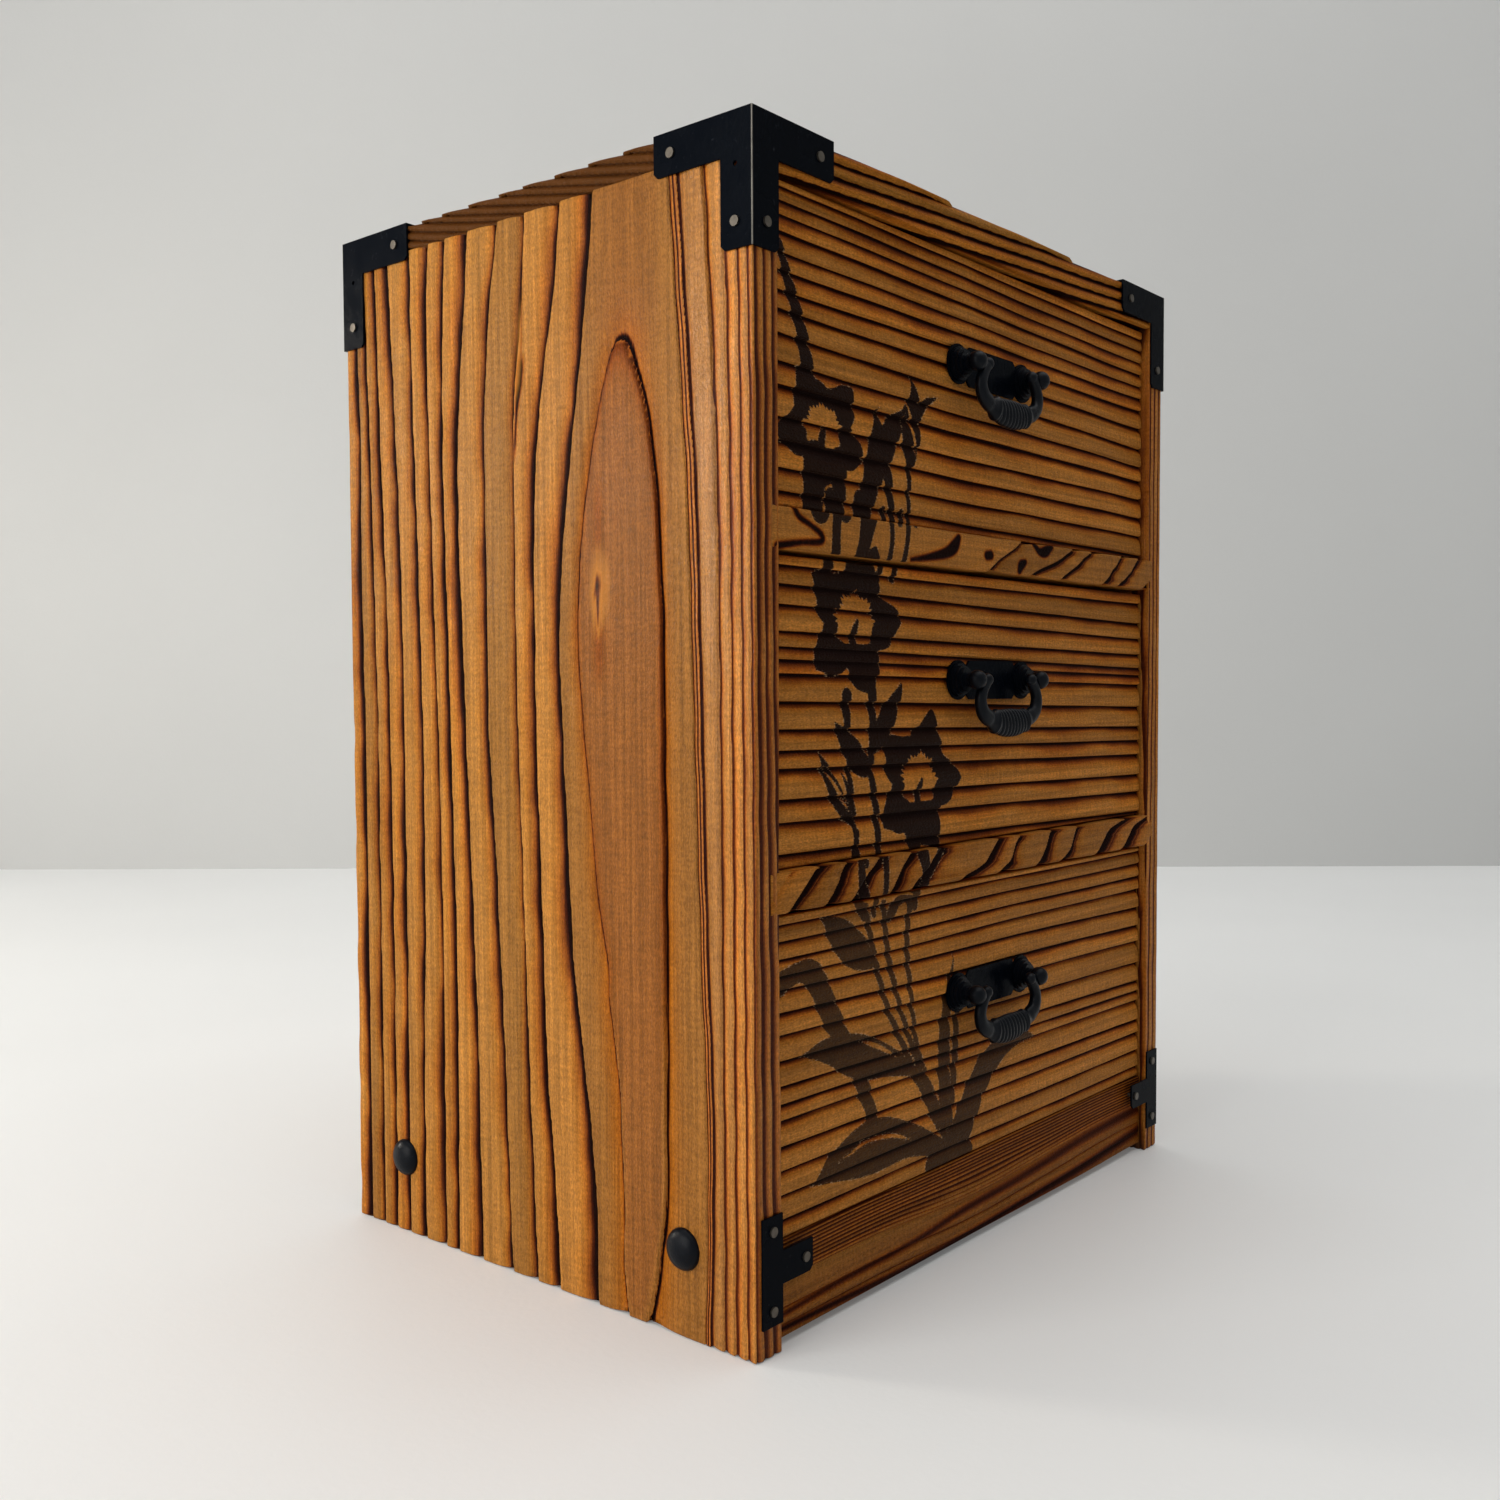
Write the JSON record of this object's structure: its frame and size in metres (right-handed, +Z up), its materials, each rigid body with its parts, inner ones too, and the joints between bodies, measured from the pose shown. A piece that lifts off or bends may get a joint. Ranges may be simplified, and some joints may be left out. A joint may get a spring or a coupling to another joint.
{
  "type": "drawer cabinet",
  "caption": "Small standing cabinet of brushed scorched boards with drawers, black corner irons and hanging bail pulls.",
  "frame": {"origin": "middle of the footprint of the whole object, on the floor", "axes": "+Z up, drawers open towards -Y, +X to the right seen from the front"},
  "size_m": [0.3056, 0.2278, 0.4015],
  "materials": {
    "brushed_wood": "brushed, scorched and lacquered softwood",
    "plain_wood": "planed softwood",
    "peg_wood": "hardwood pegs",
    "black_iron": "black lacquered sheet iron",
    "cast_iron": "black satin casting",
    "steel": "plain steel"
  },
  "bodies": {
    "carcass": {"left_side_panel": "brushed_wood", "right_side_panel": "brushed_wood", "top_board": "brushed_wood", "bottom_board": "plain_wood", "kick_board": "brushed_wood", "back_panel": "plain_wood", "upper_rail": "brushed_wood", "upper_rear_rail": "plain_wood", "upper_left_runner": "plain_wood", "upper_right_runner": "plain_wood", "lower_rail": "brushed_wood", "lower_rear_rail": "plain_wood", "lower_left_runner": "plain_wood", "lower_right_runner": "plain_wood", "front_left_corner_iron": "black_iron", "front_right_corner_iron": "black_iron", "rear_left_corner_iron": "black_iron", "rear_right_corner_iron": "black_iron", "left_t_plate": "black_iron", "right_t_plate": "black_iron", "corner_iron_pins": "black_iron", "t_plate_pins": "black_iron", "back_panel_nails": "steel", "dome_nails": "black_iron"},
    "top_drawer": {"top_drawer_front": "brushed_wood", "top_drawer_left_side": "plain_wood", "top_drawer_right_side": "plain_wood", "top_drawer_back": "plain_wood", "top_drawer_bottom": "plain_wood", "top_drawer_pegs": "peg_wood", "top_drawer_pull_plate": "cast_iron", "top_drawer_pull_rosettes": "cast_iron", "top_drawer_pull_posts": "cast_iron", "top_drawer_pull_nuts": "steel"},
    "top_drawer_bail": {"top_drawer_bail": "cast_iron"},
    "middle_drawer": {"middle_drawer_front": "brushed_wood", "middle_drawer_left_side": "plain_wood", "middle_drawer_right_side": "plain_wood", "middle_drawer_back": "plain_wood", "middle_drawer_bottom": "plain_wood", "middle_drawer_pegs": "peg_wood", "middle_drawer_pull_plate": "cast_iron", "middle_drawer_pull_rosettes": "cast_iron", "middle_drawer_pull_posts": "cast_iron", "middle_drawer_pull_nuts": "steel"},
    "middle_drawer_bail": {"middle_drawer_bail": "cast_iron"},
    "bottom_drawer": {"bottom_drawer_front": "brushed_wood", "bottom_drawer_left_side": "plain_wood", "bottom_drawer_right_side": "plain_wood", "bottom_drawer_back": "plain_wood", "bottom_drawer_bottom": "plain_wood", "bottom_drawer_pegs": "peg_wood", "bottom_drawer_pull_plate": "cast_iron", "bottom_drawer_pull_rosettes": "cast_iron", "bottom_drawer_pull_posts": "cast_iron", "bottom_drawer_pull_nuts": "steel"},
    "bottom_drawer_bail": {"bottom_drawer_bail": "cast_iron"}
  },
  "joints": [
    {"name": "top_drawer_slide", "type": "slide", "parent": "carcass", "child": "top_drawer", "axis": [0, -1, 0], "range_m": [0, 0.155]},
    {"name": "top_drawer_bail_hinge", "type": "hinge", "parent": "top_drawer", "child": "top_drawer_bail", "pos_m": [0, -0.11015, 0.34185], "axis": [-1, 0, 0], "range_deg": [-8, 172]},
    {"name": "middle_drawer_slide", "type": "slide", "parent": "carcass", "child": "middle_drawer", "axis": [0, -1, 0], "range_m": [0, 0.155]},
    {"name": "middle_drawer_bail_hinge", "type": "hinge", "parent": "middle_drawer", "child": "middle_drawer_bail", "pos_m": [0, -0.11015, 0.22182], "axis": [-1, 0, 0], "range_deg": [-8, 172]},
    {"name": "bottom_drawer_slide", "type": "slide", "parent": "carcass", "child": "bottom_drawer", "axis": [0, -1, 0], "range_m": [0, 0.155]},
    {"name": "bottom_drawer_bail_hinge", "type": "hinge", "parent": "bottom_drawer", "child": "bottom_drawer_bail", "pos_m": [0, -0.11015, 0.10104], "axis": [-1, 0, 0], "range_deg": [-8, 172]}
  ]
}
